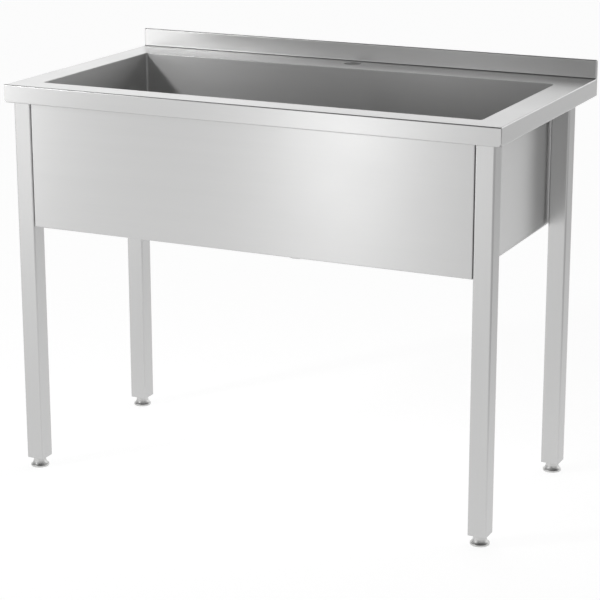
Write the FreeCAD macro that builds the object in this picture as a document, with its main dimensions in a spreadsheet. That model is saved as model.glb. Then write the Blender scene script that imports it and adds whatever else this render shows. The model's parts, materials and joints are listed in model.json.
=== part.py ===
import FreeCAD, Part
import os
import Sketcher

# A free-standing stainless steel utility sink: one deep folded bowl under a folded worktop with a
# low rear upstand, a casing panel at the front and four square tube legs on screw-adjusted feet.
# Millimetres. X runs to the right, Y to the rear, Z up. The origin is on the floor, under the
# middle of the worktop.

doc = FreeCAD.newDocument("utility_sink")
sheet = doc.addObject("Spreadsheet::Sheet", "Sizes")
nodes = []

# Every driving dimension, in millimetres; the last three are counts
SIZES = {
    # Worktop: overall plan, height of its surface, the folded edges and the upstand
    "Width": 1100,
    "Depth": 600,
    "WorkHeight": 850,
    "DeckSheet": 1.2,
    "ApronDrop": 38,
    "HemReturn": 10,
    "UpstandRise": 40,
    "UpstandThick": 10,
    "FoldRadius": 1.5,
    "CoveRadius": 3,
    # Opening of the worktop, measured from its outer edges, and the tap hole
    "FrontRim": 57,
    "SideRim": 60,
    "RearRim": 108,
    "TapRadius": 19,
    "TapFromRear": 45,
    # Bowl
    "BowlDepth": 300,
    "BowlSheet": 1.2,
    "BowlCorner": 6,
    "BowlFloorRadius": 10,
    "FloorFall": 8,
    "FloorFlat": 90,
    "RecessRadius": 38,
    "RecessDepth": 3,
    "WasteHoleRadius": 26,
    # Legs, with the gap between the floor and the tube's lower end
    "LegSize": 40,
    "LegWall": 1.5,
    "LegCorner": 4,
    "LegSideInset": 15,
    "LegFrontInset": 12,
    "LegRearInset": 98,
    "FootRise": 22,
    # Sockets that hold the legs, and their screws
    "SocketPlate": 44,
    "SocketPlateThick": 3,
    "SocketLength": 60,
    "SocketWall": 2,
    "SocketGap": 0.3,
    "ScrewRadius": 3,
    "ScrewFit": 0.1,
    "ScrewLength": 10,
    "ScrewHeadRadius": 5,
    "ScrewHeadHeight": 3,
    "ScrewKey": 2,
    "ScrewKeyDepth": 1.6,
    "ScrewTopDrop": 32,
    "ScrewPitch": 17,
    # Stiffening rails under the worktop
    "RailSheet": 1.5,
    "RailHeight": 25,
    "RailWidth": 36,
    "RearRailWidth": 24,
    "RailGap": 3,
    # Front casing panel
    "PanelSheet": 1,
    "PanelSetback": 1,
    "PanelSideGap": 1,
    "PanelReturn": 18,
    "PanelCover": 2,
    "PanelScrewRadius": 2,
    "PanelScrewLength": 8,
    "PanelScrewHeadRadius": 4,
    "PanelScrewHeadHeight": 2.4,
    "PanelScrewSpacing": 290,
    # Adjustable feet
    "FootRadius": 20,
    "FootDisc": 5,
    "FootEdge": 1.5,
    "FootShoulder": 14,
    "NeckRadius": 13.5,
    "FootLift": 0.3,
    "StemRadius": 5,
    "StemFit": 0.05,
    "StemSeat": 4,
    "StemRise": 62,
    "StemLead": 1.25,
    "PlugLength": 30,
    "PlugGap": 0.2,
    # Waste fitting
    "FlangeRadius": 36,
    "FlangeThick": 2,
    "GasketThick": 1,
    "GasketInset": 1,
    "WasteRadius": 25,
    "WasteBodyLength": 26,
    "WasteBore": 21,
    "OutletRadius": 20,
    "OutletBore": 18,
    "OutletLength": 40,
    "WasherThick": 2,
    "WasherRadius": 36,
    "NutRadius": 36,
    "NutHeight": 12,
    "ThreadFit": 0.1,
    "StrainerThick": 1.2,
    "StrainerHole": 2.5,
    "StrainerHoleCircle": 12,
    # Lift-out overflow standpipe
    "PipeRadius": 16,
    "PipeWall": 1.2,
    "PipeHeight": 240,
    "PipeSlotWidth": 6,
    "PipeSlotHeight": 18,
    "PipeSlotDrop": 8,
    "StopperRadius": 23,
    "StopperHeight": 10,
    "StopperPlug": 17,
    "StopperTaper": 1,
    "StopperFit": 0.3,
    "StopperLedge": 3,
    # Counts: flats of the backnut, outer holes of the strainer, slots of the standpipe
    "NutFlats": 8,
    "StrainerHoles": 8,
    "PipeSlots": 6,
}
for row, (alias, number) in enumerate(SIZES.items(), 1):
    sheet.set("A%d" % row, alias)
    sheet.set("B%d" % row, str(number))
    sheet.setAlias("B%d" % row, alias)
doc.recompute()

# Named places, as expressions on the sheet
DECK_UNDER = "(Sizes.WorkHeight - Sizes.DeckSheet)"
APRON_BOTTOM = "(Sizes.WorkHeight - Sizes.ApronDrop)"
LEG_X = "(Sizes.Width / 2 - Sizes.LegSideInset - Sizes.LegSize / 2)"
LEG_FRONT_Y = "(-Sizes.Depth / 2 + Sizes.LegFrontInset + Sizes.LegSize / 2)"
LEG_REAR_Y = "(Sizes.Depth / 2 - Sizes.LegRearInset - Sizes.LegSize / 2)"
LEG_TOP = "(" + DECK_UNDER + " - Sizes.SocketPlateThick)"
OPENING_WIDTH = "(Sizes.Width - 2 * Sizes.SideRim)"
OPENING_DEPTH = "(Sizes.Depth - Sizes.FrontRim - Sizes.RearRim)"
BOWL_Y = "((Sizes.FrontRim - Sizes.RearRim) / 2)"
FLOOR_EDGE = "(Sizes.WorkHeight - Sizes.BowlDepth)"
FLOOR_LOW = "(" + FLOOR_EDGE + " - Sizes.FloorFall)"
RECESS_FLOOR = "(" + FLOOR_LOW + " - Sizes.RecessDepth)"
RECESS_UNDER = "(" + RECESS_FLOOR + " - Sizes.BowlSheet)"
FLANGE_UNDER = "(" + RECESS_FLOOR + " + Sizes.GasketThick)"
FLANGE_TOP = "(" + FLANGE_UNDER + " + Sizes.FlangeThick)"
RAIL_BOTTOM = "(" + DECK_UNDER + " - Sizes.RailHeight)"
CORNERS = {
    "front_left": ("-" + LEG_X, LEG_FRONT_Y),
    "front_right": (LEG_X, LEG_FRONT_Y),
    "rear_left": ("-" + LEG_X, LEG_REAR_Y),
    "rear_right": (LEG_X, LEG_REAR_Y),
}


def value(expression):
    """The number that an expression on the sheet has now."""
    return float(sheet.evalExpression(expression.replace("Sizes.", "")))


def bind(thing, **expressions):
    """Ties properties to the sheet; a double underscore stands for a dot."""
    for name, expression in expressions.items():
        thing.setExpression(name.replace("__", "."), expression)


def new_body(label):
    """An empty body that becomes the node of that name."""
    body = doc.addObject("PartDesign::Body", label)
    body.Label = label
    nodes.append(body)
    return body


def sketch_on(body, name, role, x="0", y="0", level="0"):
    """An empty sketch on one of the body's own planes, shifted in that plane and along its normal."""
    plane = [feature for feature in body.Origin.OriginFeatures if feature.Role == role][0]
    sketch = body.newObject("Sketcher::SketchObject", name)
    sketch.AttachmentSupport = [(plane, "")]
    sketch.MapMode = "FlatFace"
    bind(sketch, AttachmentOffset__Base__x=x, AttachmentOffset__Base__y=y, AttachmentOffset__Base__z=level)
    return sketch


def add_rectangle(sketch, width, height):
    """A rectangle centred on the sketch's origin, with both sides tied to the sheet."""
    half_w = value(width) / 2
    half_h = value(height) / 2
    corners = [(-half_w, -half_h), (half_w, -half_h), (half_w, half_h), (-half_w, half_h)]
    points = [FreeCAD.Vector(x, y, 0) for x, y in corners]
    first = sketch.GeometryCount
    for index in range(4):
        sketch.addGeometry(Part.LineSegment(points[index], points[(index + 1) % 4]))
    for index in range(4):
        following = first + (index + 1) % 4
        sketch.addConstraint(Sketcher.Constraint("Coincident", first + index, 2, following, 1))
    for index in (0, 2):
        sketch.addConstraint(Sketcher.Constraint("Horizontal", first + index))
        sketch.addConstraint(Sketcher.Constraint("Vertical", first + index + 1))
    sketch.addConstraint(Sketcher.Constraint("Symmetric", first, 1, first + 2, 1, -1, 1))
    wide = sketch.addConstraint(Sketcher.Constraint("DistanceX", first, 1, first, 2, 2 * half_w))
    high = sketch.addConstraint(Sketcher.Constraint("DistanceY", first + 1, 1, first + 1, 2, 2 * half_h))
    sketch.setExpression("Constraints[%d]" % wide, width)
    sketch.setExpression("Constraints[%d]" % high, height)


def add_circle(sketch, radius):
    """A circle on the sketch's origin, with its radius tied to the sheet."""
    circle = Part.Circle(FreeCAD.Vector(0, 0, 0), FreeCAD.Vector(0, 0, 1), value(radius))
    index = sketch.addGeometry(circle)
    sketch.addConstraint(Sketcher.Constraint("Coincident", index, 3, -1, 1))
    tied = sketch.addConstraint(Sketcher.Constraint("Radius", index, value(radius)))
    sketch.setExpression("Constraints[%d]" % tied, radius)


def volume_of(body):
    """The volume of the body as it stands."""
    doc.recompute()
    return body.Shape.Volume


def pad(body, name, sketch, length, reverse=False):
    """Adds the sketch's area to the body over a length, along the sketch's normal unless reversed."""
    feature = body.newObject("PartDesign::Pad", name)
    feature.Profile = sketch
    feature.Reversed = reverse
    bind(feature, Length=length)
    doc.recompute()
    return feature


def pocket(body, name, sketch, length, reverse=False):
    """Cuts the sketch's area out of the body, against the sketch's normal unless reversed."""
    before = volume_of(body)
    feature = body.newObject("PartDesign::Pocket", name)
    feature.Profile = sketch
    feature.Reversed = reverse
    bind(feature, Length=length)
    if volume_of(body) >= before:
        raise RuntimeError("the pocket " + name + " cuts nothing")
    return feature


def fillet(body, name, radius, test):
    """Rounds the edges of the body's last feature that pass the test."""
    last = body.Tip
    chosen = ["Edge%d" % (index + 1) for index, edge in enumerate(last.Shape.Edges) if test(edge)]
    if not chosen:
        raise RuntimeError("the fillet " + name + " finds no edge")
    feature = body.newObject("PartDesign::Fillet", name)
    feature.Base = (last, chosen)
    bind(feature, Radius=radius)
    doc.recompute()
    return feature


# How close two lengths or places count as the same
SAME = 0.01


def is_along(edge, axis):
    """True for a straight edge that runs along one axis: 0 for X, 1 for Y, 2 for Z."""
    span = edge.Vertexes[-1].Point - edge.Vertexes[0].Point
    is_straight = abs(span.Length - edge.Length) < SAME
    return is_straight and abs(abs(span[axis]) - edge.Length) < SAME


def is_at(edge, axis, expression):
    """True if the edge's centre stands at that place along the axis."""
    return abs(edge.CenterOfMass[axis] - value(expression)) < SAME


def is_end(edge, axis, expression):
    """True if the edge's centre stands that far from the origin's plane, to either side."""
    return abs(abs(edge.CenterOfMass[axis]) - value(expression)) < SAME


def round_piece(body, name, kind, radius, height, level, upper=None):
    """Adds or cuts a cylinder or, with an upper radius, a cone on the body's own Z axis."""
    form = "Cylinder" if upper is None else "Cone"
    feature = body.newObject("PartDesign::" + kind + form, name)
    if upper is None:
        bind(feature, Radius=radius)
    else:
        bind(feature, Radius1=radius, Radius2=upper)
    bind(feature, Height=height, Placement__Base__z=level)
    doc.recompute()
    return feature


def place(thing, x="0", y="0", z="0"):
    """Ties where the piece stands."""
    bind(thing, Placement__Base__x=x, Placement__Base__y=y, Placement__Base__z=z)


def make_worktop():
    """One folded sheet: surface, aprons with a hem, and the hollow upstand along the rear edge."""
    body = new_body("worktop")
    skin = "2 * Sizes.DeckSheet"

    outline = sketch_on(body, "worktop_outline", "XY_Plane", level=APRON_BOTTOM)
    add_rectangle(outline, "Sizes.Width", "Sizes.Depth")
    pad(body, "worktop_block", outline, "Sizes.ApronDrop")

    upstand_y = "(Sizes.Depth - Sizes.UpstandThick) / 2"
    strip = sketch_on(body, "upstand_outline", "XY_Plane", y=upstand_y, level="Sizes.WorkHeight")
    add_rectangle(strip, "Sizes.Width", "Sizes.UpstandThick")
    pad(body, "upstand_block", strip, "Sizes.UpstandRise")

    hollow = sketch_on(body, "underside_outline", "XY_Plane", level=APRON_BOTTOM)
    add_rectangle(hollow, "Sizes.Width - " + skin, "Sizes.Depth - " + skin)
    pocket(body, "underside", hollow, "Sizes.ApronDrop - Sizes.DeckSheet", reverse=True)

    fold = sketch_on(body, "upstand_hollow_outline", "XY_Plane", y=upstand_y, level=APRON_BOTTOM)
    add_rectangle(fold, "Sizes.Width - " + skin, "Sizes.UpstandThick - " + skin)
    rise = "Sizes.ApronDrop + Sizes.UpstandRise - Sizes.DeckSheet"
    pocket(body, "upstand_hollow", fold, rise, reverse=True)

    hem = sketch_on(body, "hem_outline", "XY_Plane", level=APRON_BOTTOM)
    add_rectangle(hem, "Sizes.Width", "Sizes.Depth")
    add_rectangle(hem, "Sizes.Width - 2 * Sizes.HemReturn", "Sizes.Depth - 2 * Sizes.HemReturn")
    pad(body, "hem", hem, "Sizes.DeckSheet")

    opening = sketch_on(body, "opening_outline", "XY_Plane", y=BOWL_Y, level="Sizes.WorkHeight")
    add_rectangle(opening, OPENING_WIDTH, OPENING_DEPTH)
    pocket(body, "opening", opening, "2 * Sizes.DeckSheet")

    tap_y = "Sizes.Depth / 2 - Sizes.TapFromRear"
    tap = sketch_on(body, "tap_outline", "XY_Plane", y=tap_y, level="Sizes.WorkHeight")
    add_circle(tap, "Sizes.TapRadius")
    pocket(body, "tap_hole", tap, "2 * Sizes.DeckSheet")

    def is_opening_corner(edge):
        return is_along(edge, 2) and is_end(edge, 0, OPENING_WIDTH + " / 2")

    fillet(body, "opening_corners", "Sizes.BowlCorner", is_opening_corner)

    upstand_front = "Sizes.Depth / 2 - Sizes.UpstandThick"

    def is_cove(edge):
        return is_along(edge, 0) and is_at(edge, 2, "Sizes.WorkHeight") and is_at(edge, 1, upstand_front)

    fillet(body, "upstand_cove", "Sizes.CoveRadius", is_cove)

    def is_fold(edge):
        front = is_along(edge, 0) and is_at(edge, 1, "-Sizes.Depth / 2")
        sides = is_along(edge, 1) and is_end(edge, 0, "Sizes.Width / 2")
        return (front or sides) and is_at(edge, 2, "Sizes.WorkHeight")

    fillet(body, "top_folds", "Sizes.FoldRadius", is_fold)


def make_bowl():
    """A folded and welded box, creased in the floor so that it falls to the waste from all sides."""
    body = new_body("bowl")
    place(body, y=BOWL_Y)
    outer_w = "(" + OPENING_WIDTH + " + 2 * Sizes.BowlSheet)"
    outer_d = "(" + OPENING_DEPTH + " + 2 * Sizes.BowlSheet)"
    floor_under = "(" + FLOOR_EDGE + " - Sizes.BowlSheet)"
    outer_corner = "Sizes.BowlCorner + Sizes.BowlSheet"
    outer_edge = "Sizes.BowlFloorRadius + Sizes.BowlSheet"
    flat_w = "(" + OPENING_WIDTH + " - 2 * Sizes.BowlFloorRadius)"
    flat_d = "(" + OPENING_DEPTH + " - 2 * Sizes.BowlFloorRadius)"

    outline = sketch_on(body, "bowl_outline", "XY_Plane", level=DECK_UNDER)
    add_rectangle(outline, outer_w, outer_d)
    height = "Sizes.BowlDepth - Sizes.DeckSheet + Sizes.BowlSheet"
    pad(body, "bowl_block", outline, height, reverse=True)

    inside = sketch_on(body, "bowl_inside_outline", "XY_Plane", level=DECK_UNDER)
    add_rectangle(inside, OPENING_WIDTH, OPENING_DEPTH)
    pocket(body, "bowl_inside", inside, "Sizes.BowlDepth - Sizes.DeckSheet")

    def is_inner_corner(edge):
        inside_x = is_end(edge, 0, OPENING_WIDTH + " / 2")
        return is_along(edge, 2) and inside_x and is_end(edge, 1, OPENING_DEPTH + " / 2")

    fillet(body, "inner_corners", "Sizes.BowlCorner", is_inner_corner)

    fillet(body, "inner_floor_edge", "Sizes.BowlFloorRadius", lambda edge: is_at(edge, 2, FLOOR_EDGE))

    reach_w = outer_w + " / 2"
    fillet(body, "outer_corners", outer_corner, lambda edge: is_along(edge, 2) and is_end(edge, 0, reach_w))
    fillet(body, "outer_floor_edge", outer_edge, lambda edge: is_at(edge, 2, floor_under))

    upper = sketch_on(body, "fall_upper_outside", "XY_Plane", level=floor_under)
    add_rectangle(upper, flat_w, flat_d)
    lower = sketch_on(body, "fall_lower_outside", "XY_Plane", level=floor_under + " - Sizes.FloorFall")
    add_rectangle(lower, "Sizes.FloorFlat", "Sizes.FloorFlat")
    loft = body.newObject("PartDesign::AdditiveLoft", "floor_fall_outside")
    loft.Profile = upper
    loft.Sections = [(lower, [""])]
    loft.Ruled = True
    doc.recompute()

    boss_height = "Sizes.RecessDepth + Sizes.BowlSheet"
    boss_radius = "Sizes.RecessRadius + Sizes.BowlSheet"
    round_piece(body, "recess_boss", "Additive", boss_radius, boss_height, RECESS_UNDER)

    before = volume_of(body)
    upper_in = sketch_on(body, "fall_upper_inside", "XY_Plane", level=FLOOR_EDGE)
    add_rectangle(upper_in, flat_w, flat_d)
    lower_in = sketch_on(body, "fall_lower_inside", "XY_Plane", level=FLOOR_LOW)
    add_rectangle(lower_in, "Sizes.FloorFlat", "Sizes.FloorFlat")
    cut = body.newObject("PartDesign::SubtractiveLoft", "floor_fall_inside")
    cut.Profile = upper_in
    cut.Sections = [(lower_in, [""])]
    cut.Ruled = True
    if volume_of(body) >= before:
        raise RuntimeError("the floor's fall cuts nothing")

    recess = "Sizes.RecessDepth"
    round_piece(body, "waste_recess", "Subtractive", "Sizes.RecessRadius", recess, RECESS_FLOOR)
    through = "Sizes.RecessDepth + Sizes.BowlSheet"
    round_piece(body, "waste_hole", "Subtractive", "Sizes.WasteHoleRadius", through, RECESS_UNDER)


def make_front_panel():
    """A shallow folded tray, open to the rear, that closes the front between the two front legs."""
    body = new_body("front_panel")
    width = "(Sizes.Width - 2 * Sizes.LegSideInset - 2 * Sizes.LegSize - 2 * Sizes.PanelSideGap)"
    bottom = "(" + FLOOR_EDGE + " - Sizes.BowlSheet - Sizes.PanelCover)"
    height = "(" + RAIL_BOTTOM + " - " + bottom + ")"
    middle = "(" + RAIL_BOTTOM + " + " + bottom + ") / 2"
    face = "(Sizes.Depth / 2 - Sizes.LegFrontInset - Sizes.PanelSetback)"
    skin = " - 2 * Sizes.PanelSheet"

    outline = sketch_on(body, "panel_outline", "XZ_Plane", y=middle, level=face)
    add_rectangle(outline, width, height)
    pad(body, "panel_block", outline, "Sizes.PanelReturn", reverse=True)
    tray = sketch_on(body, "panel_tray_outline", "XZ_Plane", y=middle, level=face + " - Sizes.PanelSheet")
    add_rectangle(tray, width + skin, height + skin)
    pocket(body, "panel_tray", tray, "Sizes.PanelReturn")

    for index, x in enumerate(panel_screw_places()):
        hole = sketch_on(body, "panel_hole_outline_%d" % index, "XY_Plane", x, panel_screw_y(), RAIL_BOTTOM)
        add_circle(hole, "Sizes.PanelScrewRadius + Sizes.ScrewFit")
        pocket(body, "panel_hole_%d" % index, hole, "2 * Sizes.PanelSheet")


def panel_screw_places():
    """X of the screws that hang the panel from the front rail."""
    return ["-Sizes.PanelScrewSpacing", "0", "Sizes.PanelScrewSpacing"]


def panel_screw_y():
    """Y of those screws: the middle of the panel's upper return."""
    return "(-Sizes.Depth / 2 + Sizes.LegFrontInset + Sizes.PanelSetback + Sizes.PanelReturn / 2)"


def make_leg(corner):
    """A square tube with two screw holes in its rear face."""
    x, y = CORNERS[corner]
    body = new_body("leg_" + corner)
    place(body, x, y)
    length = "(" + LEG_TOP + " - Sizes.FootRise)"
    outline = sketch_on(body, "tube_outline_" + corner, "XY_Plane", level="Sizes.FootRise")
    add_rectangle(outline, "Sizes.LegSize", "Sizes.LegSize")
    pad(body, "tube_" + corner, outline, length)
    fillet(body, "tube_edges_" + corner, "Sizes.LegCorner", lambda edge: is_along(edge, 2))
    bore = sketch_on(body, "tube_bore_outline_" + corner, "XY_Plane", level="Sizes.FootRise")
    add_rectangle(bore, "Sizes.LegSize - 2 * Sizes.LegWall", "Sizes.LegSize - 2 * Sizes.LegWall")
    pocket(body, "tube_bore_" + corner, bore, length, reverse=True)
    inner = "Sizes.LegSize / 2 - Sizes.LegWall"
    fillet(body, "tube_bore_edges_" + corner, "Sizes.LegCorner - Sizes.LegWall",
           lambda edge: is_along(edge, 2) and is_end(edge, 0, inner) and is_end(edge, 1, inner))
    for index, z in enumerate(leg_screw_heights()):
        hole = sketch_on(body, "tube_hole_outline_%s_%d" % (corner, index), "XZ_Plane", y=z)
        add_circle(hole, "Sizes.ScrewRadius + Sizes.ScrewFit")
        pocket(body, "tube_hole_%s_%d" % (corner, index), hole, "Sizes.LegSize")


def leg_screw_heights():
    """Z of the two screws in each leg's upper end."""
    upper = DECK_UNDER + " - Sizes.ScrewTopDrop"
    return [upper, upper + " - Sizes.ScrewPitch"]


def make_socket(corner):
    """A square stub under a plate welded below the worktop; the leg slides over the stub."""
    x, y = CORNERS[corner]
    body = new_body("leg_socket_" + corner)
    place(body, x, y)
    stub = "(Sizes.LegSize - 2 * Sizes.LegWall - 2 * Sizes.SocketGap)"
    plate = sketch_on(body, "plate_outline_" + corner, "XY_Plane", level=LEG_TOP)
    add_rectangle(plate, "Sizes.SocketPlate", "Sizes.SocketPlate")
    pad(body, "plate_" + corner, plate, "Sizes.SocketPlateThick")
    tube = sketch_on(body, "stub_outline_" + corner, "XY_Plane", level=LEG_TOP)
    add_rectangle(tube, stub, stub)
    pad(body, "stub_" + corner, tube, "Sizes.SocketLength", reverse=True)
    reach = stub + " / 2"
    fillet(body, "stub_edges_" + corner, "Sizes.LegCorner - Sizes.LegWall",
           lambda edge: is_along(edge, 2) and is_end(edge, 0, reach))
    bore = sketch_on(body, "stub_bore_outline_" + corner, "XY_Plane", level=LEG_TOP)
    add_rectangle(bore, stub + " - 2 * Sizes.SocketWall", stub + " - 2 * Sizes.SocketWall")
    pocket(body, "stub_bore_" + corner, bore, "Sizes.SocketLength")
    for index, z in enumerate(leg_screw_heights()):
        hole = sketch_on(body, "stub_hole_outline_%s_%d" % (corner, index), "XZ_Plane", y=z)
        add_circle(hole, "Sizes.ScrewRadius + Sizes.ScrewFit")
        pocket(body, "stub_hole_%s_%d" % (corner, index), hole, "Sizes.LegSize")


def make_rail(label, length, width, x, y, turn):
    """A channel under the worktop: its back stands along the rail and its mouth faces the bowl."""
    body = new_body(label)
    place(body, x, y)
    body.Placement.Rotation = FreeCAD.Rotation(FreeCAD.Vector(0, 0, 1), turn)
    middle = "(" + DECK_UNDER + " + " + RAIL_BOTTOM + ") / 2"
    outline = sketch_on(body, label + "_outline", "XZ_Plane", y=middle, level=width + " / 2")
    add_rectangle(outline, length, "Sizes.RailHeight")
    pad(body, label + "_block", outline, width, reverse=True)
    channel = width + " / 2 - Sizes.RailSheet"
    mouth = sketch_on(body, label + "_mouth_outline", "XZ_Plane", y=middle, level=channel)
    add_rectangle(mouth, length, "Sizes.RailHeight - 2 * Sizes.RailSheet")
    pocket(body, label + "_mouth", mouth, width)
    return body


def make_rails():
    """Front, rear and two side channels that stiffen the worktop between the leg sockets."""
    between = "(2 * " + LEG_X + " - Sizes.SocketPlate - 2 * Sizes.RailGap)"
    front = make_rail("front_rail", between, "Sizes.RailWidth", "0", LEG_FRONT_Y, 0)
    hole_y = panel_screw_y() + " - " + LEG_FRONT_Y
    for index, x in enumerate(panel_screw_places()):
        level = RAIL_BOTTOM + " + 2 * Sizes.RailSheet"
        hole = sketch_on(front, "rail_hole_outline_%d" % index, "XY_Plane", x, hole_y, level)
        add_circle(hole, "Sizes.PanelScrewRadius + Sizes.ScrewFit")
        pocket(front, "rail_hole_%d" % index, hole, "2 * Sizes.RailSheet")

    rear_y = "(" + LEG_REAR_Y + " + Sizes.SocketPlate / 2 + Sizes.RailGap + Sizes.RearRailWidth / 2)"
    rear_length = "(2 * " + LEG_X + " + Sizes.LegSize)"
    make_rail("rear_rail", rear_length, "Sizes.RearRailWidth", "0", rear_y, 180)

    side_length = "(" + LEG_REAR_Y + " - " + LEG_FRONT_Y + " - Sizes.SocketPlate - 2 * Sizes.RailGap)"
    side_y = "(" + LEG_REAR_Y + " + " + LEG_FRONT_Y + ") / 2"
    make_rail("left_rail", side_length, "Sizes.RailWidth", "-" + LEG_X, side_y, -90)
    make_rail("right_rail", side_length, "Sizes.RailWidth", LEG_X, side_y, 90)


def make_leg_plug(corner):
    """A square insert in the leg's lower end, threaded for the foot's stem."""
    x, y = CORNERS[corner]
    body = new_body("leg_plug_" + corner)
    place(body, x, y)
    side = "(Sizes.LegSize - 2 * Sizes.LegWall - 2 * Sizes.PlugGap)"
    outline = sketch_on(body, "insert_outline_" + corner, "XY_Plane", level="Sizes.FootRise")
    add_rectangle(outline, side, side)
    pad(body, "insert_" + corner, outline, "Sizes.PlugLength")
    radius = "Sizes.LegCorner - Sizes.LegWall"
    fillet(body, "insert_edges_" + corner, radius, lambda edge: is_along(edge, 2))
    bore = "Sizes.StemRadius + Sizes.StemFit"
    round_piece(body, "insert_bore_" + corner, "Subtractive", bore, "Sizes.PlugLength", "Sizes.FootRise")


def make_foot(corner):
    """A bell-shaped pad: a rounded disc, a sloping shoulder and a short neck, with the stem's bore."""
    x, y = CORNERS[corner]
    body = new_body("foot_pad_" + corner)
    place(body, x, y)
    round_piece(body, "disc_" + corner, "Additive", "Sizes.FootRadius", "Sizes.FootDisc", "0")
    fillet(body, "disc_edge_" + corner, "Sizes.FootEdge", lambda edge: not is_along(edge, 2))
    shoulder = "(Sizes.FootShoulder - Sizes.FootDisc)"
    round_piece(body, "shoulder_" + corner, "Additive", "Sizes.FootRadius - Sizes.FootEdge", shoulder,
                "Sizes.FootDisc", "Sizes.NeckRadius")
    neck = "Sizes.FootRise - Sizes.FootLift - Sizes.FootShoulder"
    round_piece(body, "neck_" + corner, "Additive", "Sizes.NeckRadius", neck, "Sizes.FootShoulder")
    bore = "Sizes.StemRadius + Sizes.StemFit"
    depth = "Sizes.FootRise - Sizes.FootLift - Sizes.StemSeat"
    round_piece(body, "stem_bore_" + corner, "Subtractive", bore, depth, "Sizes.StemSeat")


def make_stem(corner):
    """The foot's threaded stem, shown at its outer diameter, with a pointed upper end."""
    x, y = CORNERS[corner]
    body = new_body("foot_stem_" + corner)
    place(body, x, y)
    low = "(Sizes.StemSeat + Sizes.StemFit)"
    round_piece(body, "shank_" + corner, "Additive", "Sizes.StemRadius", "Sizes.StemRise - " + low, low)
    round_piece(body, "lead_" + corner, "Additive", "Sizes.StemRadius", "Sizes.StemLead", "Sizes.StemRise",
                "Sizes.StemRadius - Sizes.StemLead")


def make_solid_ring(label, outer, inner, height, level):
    """A plain ring round the waste's axis."""
    body = new_body(label)
    place(body, y=BOWL_Y)
    round_piece(body, label + "_outside", "Additive", outer, height, level)
    round_piece(body, label + "_inside", "Subtractive", inner, height, level)
    return body


def make_waste():
    """The waste fitting: flanged body with its outlet, seals, backnut and strainer."""
    body = new_body("waste_body")
    place(body, y=BOWL_Y)
    body_end = "(" + FLANGE_UNDER + " - Sizes.WasteBodyLength)"
    outlet_end = "(" + body_end + " - Sizes.OutletLength)"
    flange = "Sizes.FlangeThick"
    round_piece(body, "waste_flange", "Additive", "Sizes.FlangeRadius", flange, FLANGE_UNDER)
    round_piece(body, "waste_thread", "Additive", "Sizes.WasteRadius", "Sizes.WasteBodyLength", body_end)
    round_piece(body, "waste_outlet", "Additive", "Sizes.OutletRadius", "Sizes.OutletLength", outlet_end)
    ledge = "(" + body_end + " + Sizes.StrainerThick)"
    bore_depth = FLANGE_TOP + " - " + ledge
    round_piece(body, "waste_bore", "Subtractive", "Sizes.WasteBore", bore_depth, ledge)
    outlet_depth = ledge + " - " + outlet_end
    round_piece(body, "outlet_bore", "Subtractive", "Sizes.OutletBore", outlet_depth, outlet_end)

    gasket_bore = "Sizes.WasteRadius + Sizes.ThreadFit"
    seal_radius = "Sizes.FlangeRadius - Sizes.GasketInset"
    make_solid_ring("waste_gasket", seal_radius, gasket_bore, "Sizes.GasketThick", RECESS_FLOOR)
    washer_level = "(" + RECESS_UNDER + " - Sizes.WasherThick)"
    make_solid_ring("waste_washer", "Sizes.WasherRadius", gasket_bore, "Sizes.WasherThick", washer_level)

    nut = new_body("waste_backnut")
    nut_level = "(" + washer_level + " - Sizes.NutHeight)"
    place(nut, y=BOWL_Y)
    prism = nut.newObject("PartDesign::AdditivePrism", "backnut_block")
    bind(prism, Polygon="Sizes.NutFlats", Circumradius="Sizes.NutRadius", Height="Sizes.NutHeight")
    bind(prism, Placement__Base__z=nut_level)
    doc.recompute()
    round_piece(nut, "backnut_thread", "Subtractive", gasket_bore, "Sizes.NutHeight", nut_level)

    strainer = new_body("waste_strainer")
    place(strainer, y=BOWL_Y)
    disc = "Sizes.WasteBore - Sizes.ThreadFit"
    thick = "Sizes.StrainerThick"
    round_piece(strainer, "strainer_disc", "Additive", disc, thick, ledge)
    top = ledge + " + Sizes.StrainerThick"
    centre = sketch_on(strainer, "strainer_centre_outline", "XY_Plane", level=top)
    add_circle(centre, "Sizes.StrainerHole")
    pocket(strainer, "strainer_centre", centre, "2 * Sizes.StrainerThick")
    outer = sketch_on(strainer, "strainer_hole_outline", "XY_Plane", x="Sizes.StrainerHoleCircle", level=top)
    add_circle(outer, "Sizes.StrainerHole")
    hole = pocket(strainer, "strainer_hole", outer, "2 * Sizes.StrainerThick")
    repeat_round(strainer, "strainer_holes", hole, centre, "Sizes.StrainerHoles")


def repeat_round(body, name, feature, sketch, count):
    """Repeats a feature evenly round the normal of a sketch on the body's Z axis."""
    before = volume_of(body)
    pattern = body.newObject("PartDesign::PolarPattern", name)
    pattern.Originals = [feature]
    pattern.Axis = (sketch, ["N_Axis"])
    pattern.Angle = 360
    bind(pattern, Occurrences=count)
    body.Tip = pattern
    if volume_of(body) >= before:
        raise RuntimeError("the pattern " + name + " cuts nothing")


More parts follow.
